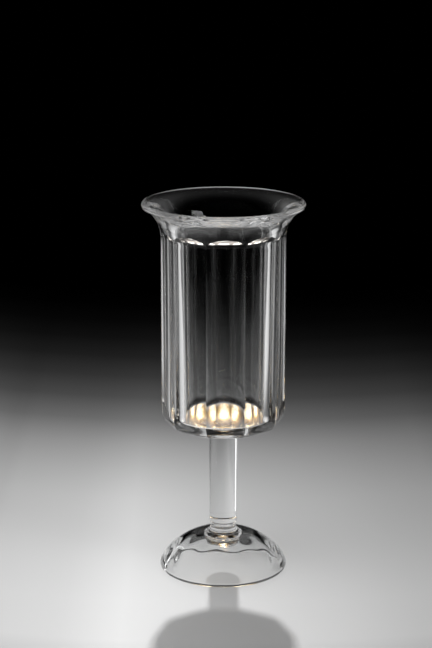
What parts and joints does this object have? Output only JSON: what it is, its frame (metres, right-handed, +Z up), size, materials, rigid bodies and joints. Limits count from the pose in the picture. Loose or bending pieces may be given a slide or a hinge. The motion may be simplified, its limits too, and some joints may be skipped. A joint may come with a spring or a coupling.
{
  "type": "drinking glass",
  "caption": "Clear stemmed drinking glass: thick cylindrical bowl with cut flat panels and a trumpet lip, solid rod stem, waisted collar and hollow domed foot.",
  "frame": {"origin": "centre of the ring that the foot stands on, at table height", "axes": "+Z up along the axis of the glass; -Y towards the panel that faces the front"},
  "size_m": [0.0812, 0.0812, 0.1908],
  "materials": {
    "bowl_glass": "polished clear glass, cut and fire polished",
    "stem_glass": "fire polished clear glass",
    "collar_glass": "fire polished clear glass, faintly warm where it is thick",
    "foot_glass": "fire polished clear glass, lightly rippled from blowing"
  },
  "bodies": {
    "root": {"bowl": "bowl_glass", "stem": "stem_glass", "foot_collar": "collar_glass", "foot": "foot_glass"}
  },
  "joints": []
}
